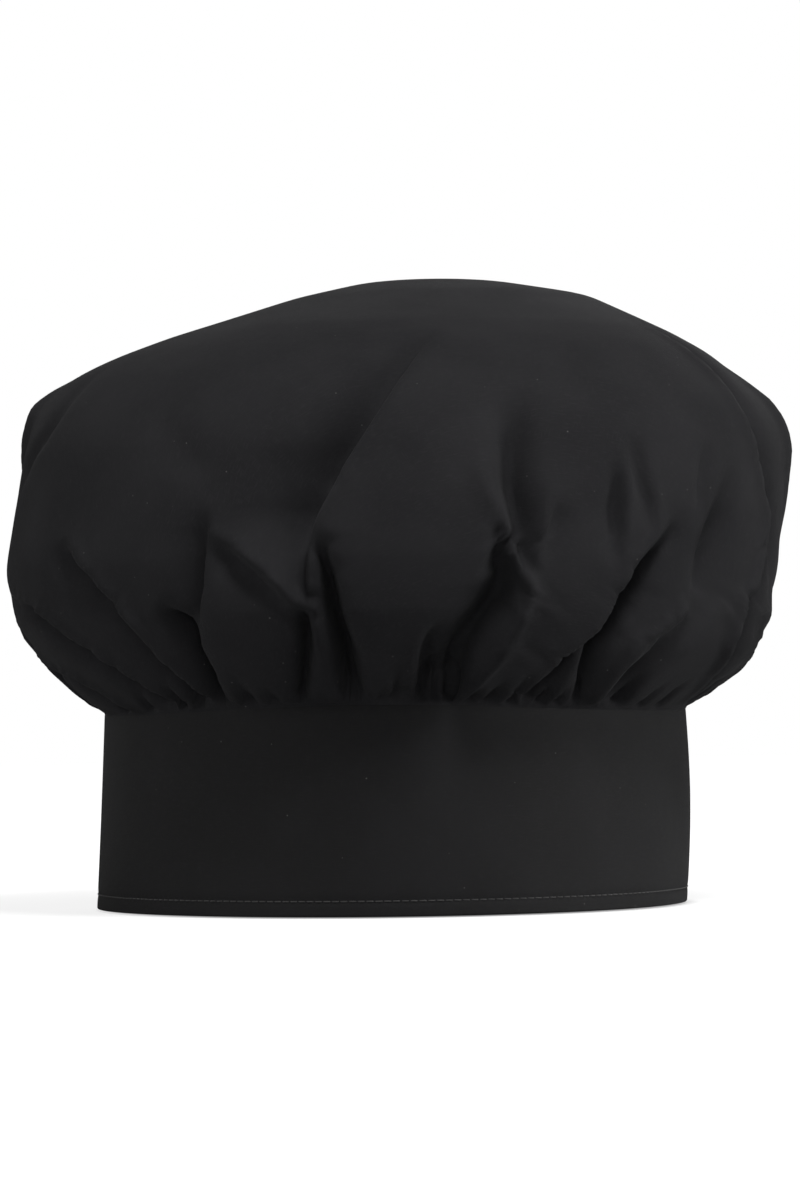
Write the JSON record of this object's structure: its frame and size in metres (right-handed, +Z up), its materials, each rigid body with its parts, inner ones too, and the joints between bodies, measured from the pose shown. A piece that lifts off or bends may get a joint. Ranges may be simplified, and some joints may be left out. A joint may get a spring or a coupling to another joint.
{
  "type": "chef toque",
  "caption": "Floppy black chef's toque: a full crown gathered into a deep plain band that closes at the back with a hook-and-loop flap.",
  "frame": {"origin": "on the surface that the hat stands on, at the middle of the hat and of the band's oval", "axes": "+Z up through the crown, -Y towards the front of the hat, closure at +Y, +X to the right as seen from the front"},
  "size_m": [0.2375, 0.2592, 0.191],
  "materials": {
    "crown_cloth": "matte poplin, plain weave",
    "band_cloth": "matte poplin, plain weave, pressed flat",
    "interlining": "matte bonded fibre",
    "thread": "spun polyester thread, slight sheen",
    "loop_tape": "soft looped pile",
    "hook_tape": "woven nylon tape with stiff hooks",
    "label_ribbon": "satin ribbon, blank"
  },
  "bodies": {
    "hat": {"crown": "crown_cloth", "slit_binding": "crown_cloth", "slit_binding_stitch": "thread", "slit_bar_tack": "thread", "crown_seam_allowance": "crown_cloth", "crown_seam_thread": "thread", "gathering_threads": "thread", "band_outer": "band_cloth", "band_interlining": "interlining", "band_lining": "band_cloth", "topstitch_needle_thread": "thread", "topstitch_bobbin_thread": "thread", "loop_strip": "loop_tape", "loop_strip_stitch": "thread", "care_label": "label_ribbon", "care_label_stitch": "thread"},
    "closure_flap": {"flap_outer": "band_cloth", "flap_interlining": "interlining", "flap_lining": "band_cloth", "flap_needle_thread": "thread", "flap_bobbin_thread": "thread", "hook_strip": "hook_tape", "hook_strip_stitch": "thread"}
  },
  "joints": [
    {"name": "closure_flap_peel", "type": "hinge", "parent": "hat", "child": "closure_flap", "pos_m": [-0.03681, 0.09342, 0], "axis": [0, 0, 1], "range_deg": [0, 110]}
  ]
}
